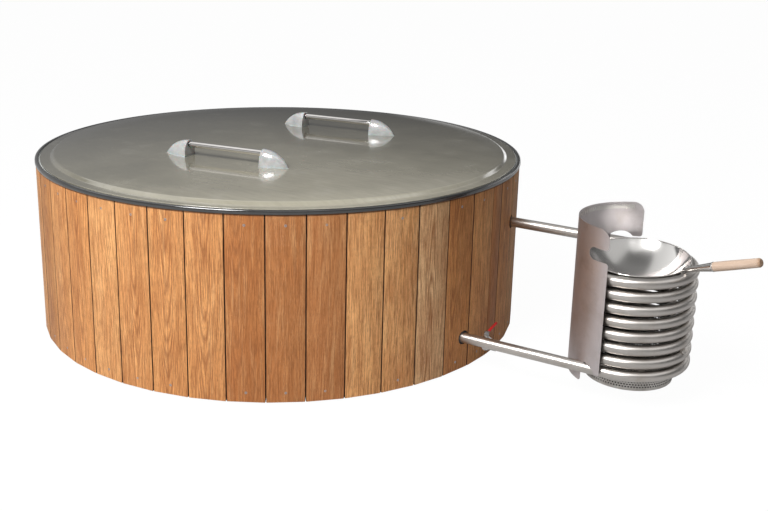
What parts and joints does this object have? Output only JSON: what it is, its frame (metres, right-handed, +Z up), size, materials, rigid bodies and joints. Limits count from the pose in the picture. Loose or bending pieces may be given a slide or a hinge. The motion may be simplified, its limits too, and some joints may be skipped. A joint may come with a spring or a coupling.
{
  "type": "wooden hot tub",
  "caption": "Round stave-clad hot tub with a lift-off lid, an outside stainless fire coil in a curved heat shield, a fire basket and a wok.",
  "frame": {"origin": "on the tub's axis, at the ground under the middle bearer", "axes": "+X from the tub to the stove, +Z up, +Y to the side of the upper pipe"},
  "size_m": [2.8973, 1.9398, 0.755],
  "materials": {
    "stave_wood": "oiled softwood boards with an upright grain, each board its own tone",
    "frame_wood": "sawn timber",
    "plywood": "sanded plywood",
    "shell_gelcoat": "glossy moulded gelcoat",
    "lid_gelcoat": "glossy grey moulded skin with soft reflections",
    "edge_rubber": "smooth black rubber with a thin highlight",
    "seal_rubber": "matt black rubber",
    "satin_stainless": "satin stainless steel, a little warm from heat",
    "polished_stainless": "mirror-polished stainless steel",
    "fin_plastic": "whitish, clear-coated silver plastic",
    "screw_steel": "plain zinc-grey steel",
    "valve_nickel": "nickel plate",
    "valve_seat_plastic": "white sealing plastic",
    "lever_steel": "zinc-plated steel strip",
    "red_sleeve": "red dipped plastic",
    "perforated_steel": "perforated stainless sheet, a little warm from heat",
    "grip_beech": "pale turned beech, smooth and lightly oiled"
  },
  "bodies": {
    "tub": {"base_bearers": "frame_wood", "floor_deck": "plywood", "lower_hoop": "plywood", "upper_hoop": "plywood", "hoop_posts": "frame_wood", "inner_shell": "shell_gelcoat", "edge_trim": "edge_rubber", "closing_stave": "stave_wood", "staves_1": "stave_wood", "staves_2": "stave_wood", "staves_3": "stave_wood", "staves_4": "stave_wood", "staves_5": "stave_wood", "staves_6": "stave_wood", "staves_7": "stave_wood", "staves_8": "stave_wood", "staves_9": "stave_wood", "upper_stave_screws": "screw_steel", "lower_stave_screws": "screw_steel", "upper_pipe": "satin_stainless", "lower_pipe": "satin_stainless", "coil": "satin_stainless", "coil_lug": "satin_stainless", "pipe_grommets": "edge_rubber", "pipe_seals": "seal_rubber", "pipe_strainers": "satin_stainless", "drain_fitting": "satin_stainless", "drain_gasket": "seal_rubber", "drain_locknut": "satin_stainless", "valve_body": "valve_nickel", "valve_seats": "valve_seat_plastic", "valve_gland_nut": "valve_nickel", "heat_shield": "satin_stainless", "shield_stiffener": "satin_stainless", "basket_brackets": "satin_stainless"},
    "lid": {"lid": "lid_gelcoat", "lid_seal": "seal_rubber", "near_left_fin": "fin_plastic", "near_right_fin": "fin_plastic", "near_grip_bar": "polished_stainless", "far_left_fin": "fin_plastic", "far_right_fin": "fin_plastic", "far_grip_bar": "polished_stainless", "handle_bolts": "screw_steel"},
    "lever": {"valve_ball": "valve_nickel", "valve_stem": "valve_nickel", "valve_lever": "lever_steel", "lever_sleeve": "red_sleeve", "lever_nut": "screw_steel"},
    "basket": {"fire_basket": "perforated_steel", "basket_collar": "perforated_steel"},
    "wok": {"wok": "polished_stainless", "wok_rim": "polished_stainless", "wok_ferrule": "satin_stainless", "wok_grip": "grip_beech"}
  },
  "joints": [
    {"name": "lid_lift", "type": "slide", "parent": "tub", "child": "lid", "axis": [0, 0, 1], "range_m": [0, 0.4]},
    {"name": "valve_turn", "type": "hinge", "parent": "tub", "child": "lever", "pos_m": [1.008, -0.118, 0.093], "axis": [0, 0, 1], "range_deg": [-90, 0]},
    {"name": "basket_lift", "type": "slide", "parent": "tub", "child": "basket", "axis": [0, 0, 1], "range_m": [0, 0.45]},
    {"name": "wok_lift", "type": "slide", "parent": "basket", "child": "wok", "axis": [0, 0, 1], "range_m": [0, 0.25]}
  ]
}
